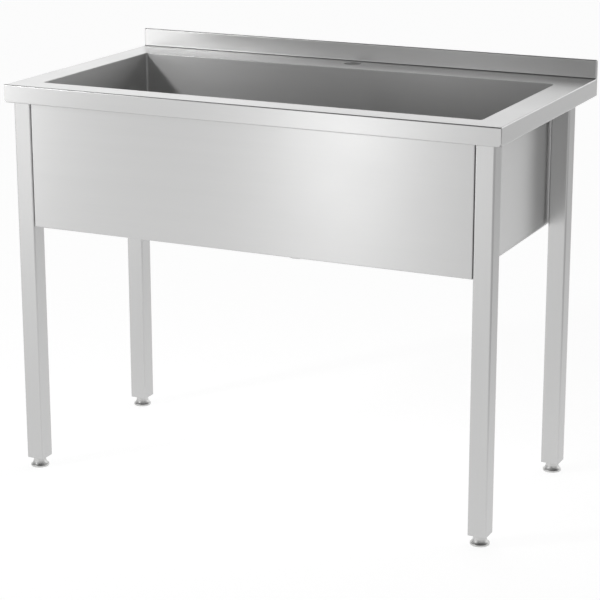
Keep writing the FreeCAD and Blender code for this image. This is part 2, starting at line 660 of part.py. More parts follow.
def make_standpipe():
    """A loose tube with slots near its top, on a stopper that seats in the waste's mouth."""
    seat = FLANGE_TOP
    ledge = "(" + seat + " - Sizes.StopperPlug)"

    stopper = new_body("standpipe_stopper")
    place(stopper, y=BOWL_Y)
    plug_radius = "Sizes.WasteBore - Sizes.StopperFit"
    plug = "Sizes.StopperPlug"
    plug_tip = plug_radius + " - Sizes.StopperTaper"
    round_piece(stopper, "stopper_plug", "Additive", plug_tip, plug, ledge, plug_radius)
    collar = "Sizes.StopperHeight"
    round_piece(stopper, "stopper_collar", "Additive", "Sizes.StopperRadius", collar, seat)
    tube_bottom = "(" + ledge + " + Sizes.StopperLedge)"
    socket_depth = seat + " + Sizes.StopperHeight - " + tube_bottom
    round_piece(stopper, "stopper_socket", "Subtractive", "Sizes.PipeRadius", socket_depth, tube_bottom)
    throat = "Sizes.PipeRadius - Sizes.PipeWall"
    round_piece(stopper, "stopper_throat", "Subtractive", throat, "Sizes.StopperLedge", ledge)

    tube = new_body("standpipe_tube")
    place(tube, y=BOWL_Y)
    length = "(" + seat + " + Sizes.PipeHeight - " + tube_bottom + ")"
    round_piece(tube, "pipe_outside", "Additive", "Sizes.PipeRadius", length, tube_bottom)
    round_piece(tube, "pipe_inside", "Subtractive", throat, length, tube_bottom)
    axis = sketch_on(tube, "pipe_axis", "XY_Plane", level=tube_bottom)
    add_circle(axis, throat)
    slot_z = seat + " + Sizes.PipeHeight - Sizes.PipeSlotDrop - Sizes.PipeSlotHeight / 2"
    slot = sketch_on(tube, "pipe_slot_outline", "XZ_Plane", y=slot_z)
    add_rectangle(slot, "Sizes.PipeSlotWidth", "Sizes.PipeSlotHeight")
    window = pocket(tube, "pipe_slot", slot, "2 * Sizes.PipeRadius")
    repeat_round(tube, "pipe_slots", window, axis, "Sizes.PipeSlots")


def make_screw(name, sizes, place_at, turn):
    """A screw whose head's underside is at the origin and whose shank points along its own Z."""
    shank = doc.addObject("Part::Cylinder", name + "_shank")
    bind(shank, Radius=sizes["shank"], Height=sizes["length"])
    head = doc.addObject("Part::Cylinder", name + "_head")
    bind(head, Radius=sizes["head"], Height=sizes["head_height"])
    bind(head, Placement__Base__z="-" + sizes["head_height"])
    whole = doc.addObject("Part::Fuse", name + "_blank")
    whole.Base = head
    whole.Tool = shank
    key = doc.addObject("Part::Prism", name + "_key")
    key.Polygon = 6
    bind(key, Circumradius="Sizes.ScrewKey", Height="Sizes.ScrewKeyDepth")
    bind(key, Placement__Base__z="-" + sizes["head_height"])
    screw = doc.addObject("Part::Cut", name)
    screw.Base = whole
    screw.Tool = key
    screw.Placement.Rotation = turn
    place(screw, *place_at)
    return screw


def group(label, pieces):
    """Gathers like fasteners in one node, each still its own solid."""
    compound = doc.addObject("Part::Compound", label)
    compound.Label = label
    compound.Links = pieces
    nodes.append(compound)


def make_screws():
    """The socket screws in the legs' rear faces and the screws that hang the front panel."""
    leg_screw = {
        "shank": "Sizes.ScrewRadius",
        "length": "Sizes.ScrewLength",
        "head": "Sizes.ScrewHeadRadius",
        "head_height": "Sizes.ScrewHeadHeight",
    }
    forward = FreeCAD.Rotation(FreeCAD.Vector(1, 0, 0), 90)
    screws = []
    for corner, (x, y) in CORNERS.items():
        for index, z in enumerate(leg_screw_heights()):
            where = (x, y + " + Sizes.LegSize / 2", z)
            screws.append(make_screw("leg_screw_%s_%d" % (corner, index), leg_screw, where, forward))
    group("leg_screws", screws)

    panel_screw = {
        "shank": "Sizes.PanelScrewRadius",
        "length": "Sizes.PanelScrewLength",
        "head": "Sizes.PanelScrewHeadRadius",
        "head_height": "Sizes.PanelScrewHeadHeight",
    }
    upright = FreeCAD.Rotation()
    screws = []
    for index, x in enumerate(panel_screw_places()):
        where = (x, panel_screw_y(), RAIL_BOTTOM + " - Sizes.PanelSheet")
        screws.append(make_screw("panel_screw_%d" % index, panel_screw, where, upright))
    group("panel_screws", screws)


def check_document():
    """Stops if any object failed or any node is not a valid solid."""
    for thing in doc.Objects:
        if "Invalid" in thing.State or "Error" in thing.State:
            raise RuntimeError(thing.Name + " failed: " + str(thing.State))
    for node in nodes:
        if node.Shape.isNull() or not node.Shape.isValid() or not node.Shape.Solids:
            raise RuntimeError(node.Label + " has no valid solid")


def export_nodes():
    """Writes each node's shape to its own file."""
    os.makedirs("parts", exist_ok=True)
    for node in nodes:
        node.Shape.exportStep("parts/" + node.Label + ".step")
        print(node.Label, len(node.Shape.Solids), round(node.Shape.Volume))


make_worktop()
make_bowl()
make_front_panel()
make_rails()
for corner in CORNERS:
    make_leg(corner)
    make_socket(corner)
    make_leg_plug(corner)
    make_foot(corner)
    make_stem(corner)
make_waste()
make_standpipe()
make_screws()
doc.recompute()
check_document()
export_nodes()
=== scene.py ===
# %% [markdown]
# # A stainless steel utility sink, dressed piece by piece
# The sink is a bench made of folded and welded sheet: a worktop with a low upstand, one deep bowl,
# a casing panel and four square legs on screw feet. The solids come from the CAD model, which stays
# as a fixed frame. Each visible piece is then modelled again with the folds, seams and threads that
# a solid leaves out, at the place where its solid is. The sink's own lengths are written in
# millimetres, and those of the camera, the floor and the lamps in metres.

# %% Load the frame and keep its box
import json
import math

import bmesh
import bpy
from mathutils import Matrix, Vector

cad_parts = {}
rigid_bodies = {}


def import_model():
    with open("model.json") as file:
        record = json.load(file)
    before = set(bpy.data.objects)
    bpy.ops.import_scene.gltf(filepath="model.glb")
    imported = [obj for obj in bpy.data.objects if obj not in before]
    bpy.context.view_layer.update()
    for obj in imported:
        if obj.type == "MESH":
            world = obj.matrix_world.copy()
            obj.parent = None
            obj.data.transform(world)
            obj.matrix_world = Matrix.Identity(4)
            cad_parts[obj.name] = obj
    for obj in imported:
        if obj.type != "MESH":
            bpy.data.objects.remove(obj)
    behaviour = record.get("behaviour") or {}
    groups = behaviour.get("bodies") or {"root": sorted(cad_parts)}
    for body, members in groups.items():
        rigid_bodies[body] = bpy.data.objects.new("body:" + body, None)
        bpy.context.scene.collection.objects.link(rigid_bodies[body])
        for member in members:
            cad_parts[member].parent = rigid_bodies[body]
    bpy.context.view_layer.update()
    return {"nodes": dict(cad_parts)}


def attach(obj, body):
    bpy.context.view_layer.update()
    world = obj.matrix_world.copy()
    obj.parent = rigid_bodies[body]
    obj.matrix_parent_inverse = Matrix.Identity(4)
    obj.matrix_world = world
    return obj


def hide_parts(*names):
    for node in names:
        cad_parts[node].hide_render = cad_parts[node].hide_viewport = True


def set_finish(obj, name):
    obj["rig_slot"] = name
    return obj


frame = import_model()
MM = 0.001

# %% [markdown]
# ## The camera
# The photograph is taken from the front right, from a little above the worktop, with a long lens.
# The place, the turn and the lens were found by fitting the worktop's edges, the panel and the feet
# to their places in the picture, and the lens was then shortened a little, to keep both ends of the
# worktop clear of the frame. Aiming at a point would be simpler, but it turns the picture about
# that point only, so the direction is set by two angles. The photograph's upright lines are
# parallel, which a small shift only partly follows: a shift that made them quite parallel would
# push the sink out of the picture from every other side.

# %% Place the camera
CAMERA_PLACE = (1.7651, -3.7114, 1.5608)
CAMERA_YAW = math.radians(25.177)
CAMERA_PITCH = math.radians(14.755)
CAMERA_LENS, CAMERA_SENSOR = 118.4, 36
CAMERA_SHIFT = (-0.02, -0.08)
camera_data = bpy.data.cameras.new("photo_camera")
camera_data.lens = CAMERA_LENS
camera_data.sensor_width = CAMERA_SENSOR
camera_data.shift_x, camera_data.shift_y = CAMERA_SHIFT
camera = bpy.data.objects.new("photo_camera", camera_data)
camera.location = CAMERA_PLACE
look = Vector((
    -math.sin(CAMERA_YAW) * math.cos(CAMERA_PITCH),
    math.cos(CAMERA_YAW) * math.cos(CAMERA_PITCH),
    -math.sin(CAMERA_PITCH),
))
camera.rotation_euler = look.to_track_quat("-Z", "Y").to_euler()
bpy.context.scene.collection.objects.link(camera)
bpy.context.scene.camera = camera
bpy.context.scene.view_settings.view_transform = "Standard"
print("camera stands", round(Vector(CAMERA_PLACE).length, 2), "m from the object's foot")

# %% [markdown]
# ## Rings, lathes and welded polygons
# Almost every piece here is either folded from flat sheet or turned round an axis. Flat work is
# easiest to write down as polygons that share their corners, and tubes and turned pieces as rings
# that are joined one after the other. Boxes and cylinders with boolean cuts would be quicker, but
# their edges are hard to round, and a real edge always catches some light.

# %% Helpers that turn polygons and rings into pieces
WELD_DIGITS = 3


def weld(polygons):
    """Points and index lists for polygons given by their corners; equal corners become one."""
    points, places, faces = [], {}, []
    for polygon in polygons:
        face = []
        for corner in polygon:
            key = tuple(round(value, WELD_DIGITS) for value in corner)
            if key not in places:
                places[key] = len(points)
                points.append(key)
            if places[key] not in face:
                face.append(places[key])
        if len(face) > 2:
            faces.append(face)
    return points, faces


def add_piece(name, polygons, body, slot, solid):
    """A smooth-shaded piece of polygons in millimetres, on its body and in place of its solid."""
    points, faces = weld(polygons)
    mesh = bpy.data.meshes.new(name)
    mesh.from_pydata([Vector(point) * MM for point in points], [], faces)
    mesh.polygons.foreach_set("use_smooth", [True] * len(mesh.polygons))
    piece = bpy.data.objects.new(name, mesh)
    bpy.context.scene.collection.objects.link(piece)
    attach(piece, body)
    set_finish(piece, slot)
    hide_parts(solid)
    return piece


def bridge(rings):
    """Quads between rings of equal length; upwards and then inwards they face outwards."""
    polygons = []
    for lower, upper in zip(rings, rings[1:]):
        for index in range(len(lower)):
            following = (index + 1) % len(lower)
            polygons.append([lower[index], lower[following], upper[following], upper[index]])
    return polygons


CORNER_STEPS = 6


def rounded_ring(half_x, half_y, radius, z, centre=(0, 0)):
    """Points round a rectangle with rounded corners, anticlockwise from its front right corner."""
    ring = []
    for quarter, (side_x, side_y) in enumerate(((1, -1), (1, 1), (-1, 1), (-1, -1))):
        for step in range(CORNER_STEPS + 1):
            angle = math.pi / 2 * (quarter - 1 + step / CORNER_STEPS)
            x = centre[0] + side_x * (half_x - radius) + radius * math.cos(angle)
            y = centre[1] + side_y * (half_y - radius) + radius * math.sin(angle)
            ring.append((x, y, z))
    return ring


def ring_angles(count):
    """Angles whose first quarter faces the first corner of a rounded ring."""
    return [2 * math.pi * (index + 0.5) / count - math.pi / 2 for index in range(count)]


ROUND_STEPS = 4 * (CORNER_STEPS + 1)


def round_ring(radius, z, centre=(0, 0), count=ROUND_STEPS, sides=0):
    """Points round a circle or, with sides, round a regular polygon of that corner radius."""
    ring = []
    for angle in ring_angles(count):
        reach = radius
        if sides:
            sector = 2 * math.pi / sides
            within = (angle + math.pi / 2) % sector - sector / 2
            reach = radius * math.cos(sector / 2) / math.cos(within)
        ring.append((centre[0] + reach * math.cos(angle), centre[1] + reach * math.sin(angle), z))
    return ring


def lathe(profile, centre=(0, 0), count=ROUND_STEPS):
    """Polygons turned from a profile of (radius, height), or (radius, height, sides)."""
    return bridge([round_ring(step[0], step[1], centre, count, *step[2:]) for step in profile])


print("corner steps:", CORNER_STEPS, " points round a turned piece:", ROUND_STEPS)

# %% [markdown]
# ## Folding sheet metal
# A folded part is one sheet of even thickness. So the outer face is drawn with sharp folds, the
# Bevel modifier rounds the folds, and Solidify gives the sheet its thickness towards the inside.
# A second, very small bevel takes the sharpness off the cut edges. Drawing inside and outside by
# hand would also work, but a change of thickness would then mean drawing it again. The fold bevel
# may not be clamped: one short edge anywhere would make every fold on the piece sharp. Each flat
# face is drawn instead so that its edges leave room for the fold.

# %% Helpers that fold sheet metal
FOLD_ANGLE = math.radians(40)
FOLD_SEGMENTS, EDGE_SEGMENTS, CUT_EDGE = 4, 2, 0.3


def add_bevel(piece, width, segments, weighted):
    """A bevel of that width in millimetres, on weighted edges or on all sharp ones."""
    bevel = piece.modifiers.new("rounded", "BEVEL")
    bevel.width = width * MM
    bevel.segments = segments
    bevel.limit_method = "WEIGHT" if weighted else "ANGLE"
    bevel.angle_limit = FOLD_ANGLE
    bevel.miter_outer = "MITER_ARC"
    bevel.use_clamp_overlap = not weighted


def add_even_shading(piece):
    """Keeps large flat faces flat where they meet small round ones."""
    shading = piece.modifiers.new("even_shading", "WEIGHTED_NORMAL")
    shading.weight = 100
    shading.keep_sharp = True


def fold_sheet(piece, thickness, fold, edge=CUT_EDGE, cove_height=None, cove=0):
    """Rounds the folds and any cove, thickens the sheet inwards and softens its cut edges."""
    widest = max(fold, cove)
    shape = bmesh.new()
    shape.from_mesh(piece.data)
    weights = shape.edges.layers.float.new("bevel_weight_edge")
    folds = 0
    for line in shape.edges:
        if len(line.link_faces) == 2 and line.calc_face_angle() > FOLD_ANGLE:
            heights = [round(corner.co.z / MM, 3) for corner in line.verts]
            is_cove = line.calc_face_angle_signed() < 0 and heights == [cove_height, cove_height]
            line[weights] = (cove if is_cove else fold) / widest
            folds += 1
    shape.to_mesh(piece.data)
    shape.free()
    add_bevel(piece, widest, FOLD_SEGMENTS, True)
    sheet = piece.modifiers.new("sheet", "SOLIDIFY")
    sheet.thickness = thickness * MM
    sheet.offset = -1
    sheet.use_even_offset = True
    sheet.use_quality_normals = True
    if edge:
        add_bevel(piece, edge, EDGE_SEGMENTS, False)
    add_even_shading(piece)
    print(piece.name, "has", folds, "folded edges in a sheet of", thickness, "mm")


# For faces that look along X, Y or Z, the axis that the brushing follows on them.
GRAIN_ALONG = {"x": (1, 0, 0), "z": (2, 2, 0)}


def lay_grain(piece, direction):
    """A UV map in metres whose U runs along the brushing, face by face."""
    layer = piece.data.uv_layers.new(name="grain")
    for polygon in piece.data.polygons:
        facing = max(range(3), key=lambda axis: abs(polygon.normal[axis]))
        along = GRAIN_ALONG[direction][facing]
        across = 3 - facing - along
        for loop in polygon.loop_indices:
            point = piece.data.vertices[piece.data.loops[loop].vertex_index].co
            layer.data[loop].uv = (point[along], point[across])


print("folds are edges that turn by more than", round(math.degrees(FOLD_ANGLE)), "degrees")

# %% [markdown]
# ## The worktop
# The worktop is a single sheet. It turns down into a 38 mm apron at the front and the sides, whose
# lower edge is turned in again as a hem, and it turns up and over at the rear as a hollow upstand.
# The front apron's lower corners are rounded, and the side aprons butt against it with a fine open
# seam. It could be a box with a hole cut in it, but then the seams, the hem and the even sheet
# would be missing, and those are what one sees from below and at the corners.

# %% Set the worktop's sizes and draw its aprons
WIDTH, DEPTH, TOP = 1100, 600, 850
APRON, HEM, UPSTAND, UPSTAND_THICK = 38, 10, 40, 10
SHEET, FOLD, COVE = 1.2, 2.7, 3
SEAM, APRON_CORNER, ARC_STEPS = 3, 4, 5
OPENING_X, OPENING_Y, OPENING_CORNER = 490, 217.5, 6
BOWL_CENTRE = (0, -25.5)
TAP_RADIUS, TAP_Y = 19, 255
right, front, rear = WIDTH / 2, -DEPTH / 2, DEPTH / 2
low, high, step_y = TOP - APRON, TOP + UPSTAND, rear - UPSTAND_THICK


def corner_arc(centre_u, centre_v, radius, start, end, steps=ARC_STEPS):
    """Points on an arc in a plane, from one angle to the other in degrees."""
    angles = [math.radians(start + (end - start) * step / steps) for step in range(steps + 1)]
    return [(centre_u + radius * math.cos(a), centre_v + radius * math.sin(a)) for a in angles]


def apron_faces():
    """Front apron, both sides with the upstand's ends, and the four hems."""
    inset = right - APRON_CORNER
    level = low + APRON_CORNER + FOLD
    edge = corner_arc(-inset, level, APRON_CORNER, 180, 270) + [(-inset, low), (inset, low)]
    edge += corner_arc(inset, level, APRON_CORNER, 270, 360) + [(right, TOP), (-right, TOP)]
    faces = [[(x, front, z) for x, z in edge]]
    start = front + SEAM
    first = start + APRON_CORNER
    side = corner_arc(first, level, APRON_CORNER, 180, 270)
    side += [(first, low), (rear, low), (rear, high), (step_y, high), (step_y, TOP), (start, TOP)]
    faces.append([(right, y, z) for y, z in side])
    faces.append([(-right, y, z) for y, z in reversed(side)])
    inner, inner_rear = right - HEM, rear - HEM
    hem_front = [
        (-inset, front), (HEM - inset, front + HEM), (inset - HEM, front + HEM), (inset, front),
    ]
    hem_right = [(right, first), (inner, first + HEM), (inner, inner_rear), (right, rear)]
    hem_left = [(-x, y) for x, y in reversed(hem_right)]
    hem_rear = [(right, rear), (inner, inner_rear), (-inner, inner_rear), (-right, rear)]
    for flap in (hem_front, hem_right, hem_left, hem_rear):
        faces.append([(x, y, low) for x, y in flap])
    return faces


print("apron and hem faces:", len(apron_faces()))

# %% Draw the upstand and the deck
LIP_STEPS, TAP_STEPS = 4, 24


def upstand_faces():
    """Front, top and back of the hollow upstand."""
    a, b = (-right, step_y), (right, step_y)
    c, d = (-right, rear), (right, rear)
    return [
        [(*a, TOP), (*b, TOP), (*b, high), (*a, high)],
        [(*a, high), (*b, high), (*d, high), (*c, high)],
        [(*d, low), (*c, low), (*c, high), (*d, high)],
    ]


def deck_faces():
    """The flat top round the opening and the tap hole, and the opening's rounded edge."""
    lip = []
    for step in range(LIP_STEPS + 1):
        turn = math.pi / 2 * step / LIP_STEPS
        out, down = SHEET * (1 - math.sin(turn)), SHEET * (1 - math.cos(turn))
        lip.append(rounded_ring(
            OPENING_X + out, OPENING_Y + out, OPENING_CORNER + out, TOP - down, BOWL_CENTRE
        ))
    ring, count = lip[0], CORNER_STEPS + 1
    fl, fr = (-right, front, TOP), (right, front, TOP)
    fl_seam, fr_seam = (-right, front + SEAM, TOP), (right, front + SEAM, TOP)
    rl, rr = (-right, step_y, TOP), (right, step_y, TOP)
    over, under = [
        [(x, y, TOP) for x, y in corner_arc(0, TAP_Y, TAP_RADIUS, start, end, TAP_STEPS)]
        for start, end in ((180, 0), (360, 180))
    ]
    faces = [
        [fl, fr, ring[0], ring[-1]],
        [fr, fr_seam, rr, ring[count], ring[count - 1]],
        [fl, ring[3 * count], ring[3 * count - 1], rl, fl_seam],
        [rr, rl] + over,
        [ring[2 * count - 1], rr] + under + [rl, ring[2 * count]],
    ]
    for quarter, corner in enumerate((fr, rr, rl, fl)):
        faces.append([corner] + ring[quarter * count:(quarter + 1) * count][::-1])
    return faces + bridge(lip)


print("upstand and deck faces:", len(upstand_faces() + deck_faces()))

# %% Fold the worktop
worktop = add_piece(
    "worktop_sheet", apron_faces() + upstand_faces() + deck_faces(), "stand", "worktop_steel",
    "worktop",
)
lay_grain(worktop, "x")
fold_sheet(worktop, SHEET, FOLD, cove_height=TOP, cove=COVE)

# %% [markdown]
# ## The bowl
# The bowl is folded from one sheet and welded at its four upright corners, which are then ground
# to a small radius. Its floor is creased from the corners towards the waste, so that it drains,
# and the waste sits in a shallow pressed recess. Rings that shrink from the opening to the hole
# follow all of that in one surface. The creases stay sharp, because smoothing would bend the light
# over the whole floor.

# %% Draw the bowl
BOWL_TOP, BOWL_FLOOR, BOWL_LOW = TOP - SHEET, 550, 542
FLOOR_ROUND, FLOOR_STEPS, FLOOR_FLAT, TIGHTEST = 10, 8, 45, 0.6
RECESS_RADIUS, RECESS_Z, HOLE_RADIUS = 38, 539, 26
RECESS_EDGE, RECESS_EASE = 0.8, 0.2


def bowl_rings():
    """Inner face of the bowl, from the opening down the walls and over the floor to the hole."""
    rings = [rounded_ring(OPENING_X, OPENING_Y, OPENING_CORNER, BOWL_TOP, BOWL_CENTRE)]
    for step in range(FLOOR_STEPS + 1):
        turn = math.pi / 2 * step / FLOOR_STEPS
        inset = FLOOR_ROUND * (1 - math.cos(turn))
        z = BOWL_FLOOR + FLOOR_ROUND * (1 - math.sin(turn))
        corner = max(OPENING_CORNER - inset, TIGHTEST)
        rings.append(rounded_ring(OPENING_X - inset, OPENING_Y - inset, corner, z, BOWL_CENTRE))
    rings.append(rounded_ring(FLOOR_FLAT, FLOOR_FLAT, TIGHTEST, BOWL_LOW, BOWL_CENTRE))
    for radius, z in (
        (RECESS_RADIUS + RECESS_EDGE, BOWL_LOW),
        (RECESS_RADIUS + RECESS_EASE, BOWL_LOW - RECESS_EASE),
        (RECESS_RADIUS, BOWL_LOW - RECESS_EDGE),
        (RECESS_RADIUS, RECESS_Z + RECESS_EDGE),
        (RECESS_RADIUS - RECESS_EASE, RECESS_Z + RECESS_EASE),
        (RECESS_RADIUS - RECESS_EDGE, RECESS_Z),
        (HOLE_RADIUS, RECESS_Z),
    ):
        rings.append(round_ring(radius, z, BOWL_CENTRE))
    return rings


bowl = add_piece("bowl_sheet", bridge(bowl_rings()), "stand", "bowl_steel", "bowl")
creased = 0
for line in bowl.data.edges:
    ends = [bowl.data.vertices[index].co / MM for index in line.vertices]
    heights = sorted(round(end.z, 2) for end in ends)
    if heights == [BOWL_LOW, BOWL_FLOOR] or heights in ([BOWL_LOW] * 2, [BOWL_FLOOR] * 2):
        line.use_edge_sharp = True
        creased += 1
lay_grain(bowl, "x")
fold_sheet(bowl, SHEET, FOLD, edge=0)
print("bowl floor has", creased, "creased edges")

# %% [markdown]
# ## The casing panel
# The panel between the front legs is a shallow tray: a face with a return on each side, open at
# the corners where the returns meet. The returns hide the sheet's edges, hold the face flat and
# carry the three screws that hang it from the front rail.

# %% Draw the casing panel
PANEL_X, PANEL_LOW, PANEL_TOP, PANEL_Y = 494, 546.8, 823.8, -287
PANEL_RETURN, PANEL_RELIEF, PANEL_SHEET, PANEL_FOLD = 18, 2.4, 1, 2.2


def panel_faces():
    """The panel's face and its four returns, which don't touch each other behind the face."""
    corners = [
        (-PANEL_X, PANEL_LOW), (PANEL_X, PANEL_LOW), (PANEL_X, PANEL_TOP), (-PANEL_X, PANEL_TOP),
    ]
    middle = (PANEL_LOW + PANEL_TOP) / 2
    faces = [[(x, PANEL_Y, z) for x, z in corners]]
    back = PANEL_Y + PANEL_RETURN
    for index, (x, z) in enumerate(corners):
        next_x, next_z = corners[(index + 1) % 4]
        is_flat = z == next_z
        ease_x = PANEL_RELIEF if is_flat else 0
        ease_z = 0 if is_flat else PANEL_RELIEF
        deep = [
            (px - math.copysign(ease_x, px), back, pz - math.copysign(ease_z, pz - middle))
            for px, pz in ((x, z), (next_x, next_z))
        ]
        faces.append([(next_x, PANEL_Y, next_z), (x, PANEL_Y, z), deep[0], deep[1]])
    return faces


panel = add_piece("front_panel_sheet", panel_faces(), "stand", "panel_steel", "front_panel")
lay_grain(panel, "x")
fold_sheet(panel, PANEL_SHEET, PANEL_FOLD)

# %% [markdown]
# ## The legs
# Each leg is a length of square tube with rounded corners. Its wall shows at the lower end, round
# the threaded insert. Rings of the tube's outer face are joined and then thickened inwards, which
# keeps the wall even round the corners.

# %% Draw the legs
LEG_HALF, LEG_CORNER, LEG_WALL = 20, 4, 1.5
LEG_BOTTOM, LEG_TOP = 22, 845.8
LEGS = {
    "front_left": (-515, -268),
    "front_right": (515, -268),
    "rear_left": (-515, 182),
    "rear_right": (515, 182),
}
for corner, centre in LEGS.items():
    ends = [rounded_ring(LEG_HALF, LEG_HALF, LEG_CORNER, z, centre) for z in (LEG_BOTTOM, LEG_TOP)]
    leg = add_piece("leg_tube_" + corner, bridge(ends), "stand", "leg_steel", "leg_" + corner)
    lay_grain(leg, "z")
    fold_sheet(leg, LEG_WALL, FOLD)

# %% [markdown]
# ## The adjustable feet
# A foot is a bell-shaped pad on a threaded stem. The stem turns in a plastic insert in the leg's
# end, so the foot moves by one pitch for each turn. The pad is turned from a profile. The thread is
# a real helix: each ring's radius rises and falls with the angle, and the next ring is shifted a
# little further, which a bump texture could not show in the stem's outline.

# %% Draw pads, stems and inserts
FOOT_PROFILE = [
    (0, 0.7), (14.5, 0.7), (15.6, 0), (18.7, 0), (19.6, 0.35), (20, 1.3), (20, 3.4), (19.7, 4.4),
    (18.8, 5.2), (17.3, 6.3), (15.9, 7.9), (14.8, 10), (14, 12.4), (13.5, 14.6), (13.5, 20.9),
    (12.9, 21.7), (6, 21.7), (5.05, 20.9), (5.05, 4), (0, 4),
]
STEM_RADIUS, STEM_LOW, STEM_HIGH, STEM_END, STEM_TAPER = 5, 4.05, 62, 63.25, 1.6
THREAD_PITCH, THREAD_DEPTH, THREAD_STEPS = 1.5, 0.85, 6
PAD_COUNT, STEM_COUNT = 56, 32
INSERT_BORE, INSERT_LOW, INSERT_HIGH, INSERT_RECESS = 5.05, 22, 52, 23.6
INSERT_BOSS = [
    (INSERT_BORE, 51.6), (INSERT_BORE, 22.5), (5.5, INSERT_LOW), (8.4, INSERT_LOW),
    (8.8, INSERT_RECESS),
]
INSERT_SIDES = [
    (15.6, 1.4, INSERT_RECESS), (16.1, 1.8, INSERT_LOW), (17.9, 2.2, INSERT_LOW),
    (18.3, 2.5, 22.4), (18.3, 2.5, 51.6), (17.9, 2.2, INSERT_HIGH),
]
INSERT_MOUTH = [(5.5, INSERT_HIGH), (INSERT_BORE, 51.6)]


def thread_rings(radius, low_z, high_z, pitch, depth, centre, count):
    """Rings of a right-hand thread between two heights."""
    total = round((high_z - low_z) / pitch * THREAD_STEPS)
    rings = []
    for step in range(total + 1):
        z = low_z + (high_z - low_z) * step / total
        ring = []
        for angle in ring_angles(count):
            phase = (z / pitch - angle / (2 * math.pi)) % 1
            reach = radius - depth * abs(2 * phase - 1)
            x, y = reach * math.cos(angle), reach * math.sin(angle)
            ring.append((centre[0] + x, centre[1] + y, z))
        rings.append(ring)
    return rings


def insert_rings(centre):
    """A square insert: a recessed lower face with a boss round the bore, then the sides up."""
    rings = [round_ring(radius, z, centre) for radius, z in INSERT_BOSS]
    rings += [rounded_ring(half, half, corner, z, centre) for half, corner, z in INSERT_SIDES]
    return rings + [round_ring(radius, z, centre) for radius, z in INSERT_MOUTH]


def stem_rings(centre):
    """The threaded stem, closed at both ends and tapered at its upper one."""
    thread = thread_rings(
        STEM_RADIUS, STEM_LOW, STEM_HIGH, THREAD_PITCH, THREAD_DEPTH, centre, STEM_COUNT
    )
    start = round_ring(0, STEM_LOW, centre, STEM_COUNT)
    tip = round_ring(STEM_RADIUS - STEM_TAPER, STEM_END, centre, STEM_COUNT)
    end = round_ring(0, STEM_END, centre, STEM_COUNT)
    return [start] + thread + [tip, end]


for corner, centre in LEGS.items():
    pad = add_piece(
        "foot_bell_" + corner, lathe(FOOT_PROFILE, centre, PAD_COUNT), "foot_" + corner,
        "foot_steel", "foot_pad_" + corner,
    )
    add_piece(
        "foot_thread_" + corner, bridge(stem_rings(centre)), "stem_" + corner, "foot_steel",
        "foot_stem_" + corner,
    )
    insert = add_piece(
        "leg_insert_" + corner, bridge(insert_rings(centre)), "stand", "plug_plastic",
        "leg_plug_" + corner,
    )
    for piece in (pad, insert):
        add_even_shading(piece)
    print(corner, "stem has", round((STEM_HIGH - STEM_LOW) / THREAD_PITCH), "turns of thread")

# %% [markdown]
# ## Screws
# Two button-head screws hold each leg to its socket, and three smaller ones hang the panel. Their
# sockets are hexagonal. The lathe helper can turn a round profile into a six-sided one on the way
# down, so head and key socket are one closed form.

# %% Draw the screws
# Radius and height of the head, radius and depth of the key socket, radius and length of the shank.
LEG_SCREW, PANEL_SCREW, SCREW_COUNT = (5, 3, 2, 1.6, 3, 10), (4, 2.4, 2, 1.6, 2, 8), 48
LEG_SCREW_Z = (816.8, 799.8)
PANEL_SCREW_X, PANEL_SCREW_Y, PANEL_SCREW_Z = (-290, 0, 290), -278, 822.8


def screw_polygons(sizes, place):
    """A screw along its own axis, then carried to its place, its head away from the sheet."""
    head, rise, key, key_depth, shank, length = sizes
    profile = [
        (0, -length), (shank * 0.8, -length), (shank, 0.6 - length), (shank, 0), (head, 0),
        (head, rise * 0.35), (head * 0.93, rise * 0.68), (head * 0.72, rise * 0.95),
        (head * 0.6, rise), (key * 1.06, rise, 6), (key, rise - 0.15, 6),
        (key, rise - key_depth, 6), (0, rise - key_depth - 0.5),
    ]
    turned = lathe(profile, count=SCREW_COUNT)
    return [[place(*corner) for corner in polygon] for polygon in turned]


for corner, (x, y) in LEGS.items():
    polygons = []
    for z in LEG_SCREW_Z:
        polygons += screw_polygons(LEG_SCREW, lambda u, v, w: (x - u, y + LEG_HALF + w, z + v))
    screw = add_piece("leg_screws_" + corner, polygons, "stand", "screw_steel", "leg_screws")
    add_even_shading(screw)
polygons = []
for x in PANEL_SCREW_X:
    polygons += screw_polygons(
        PANEL_SCREW, lambda u, v, w: (x + u, PANEL_SCREW_Y - v, PANEL_SCREW_Z - w)
    )
panel_screws = add_piece("panel_screw_set", polygons, "stand", "screw_steel", "panel_screws")
add_even_shading(panel_screws)
print("screws:", len(LEG_SCREW_Z) * len(LEGS) + len(PANEL_SCREW_X))

# %% [markdown]
# ## The waste and the standpipe
# The waste is a flanged body that is screwed up against the bowl's recess by an eight-sided
# backnut, with a seal above the recess and a washer below it. A loose standpipe stands in it: its
# slots near the top let the water out when the bowl is full, and lifting it empties the bowl. All
# of these turn round one axis, so they are lathe work, the pipe's slots are columns of faces that
# are left out, and Solidify gives the pipe its wall.

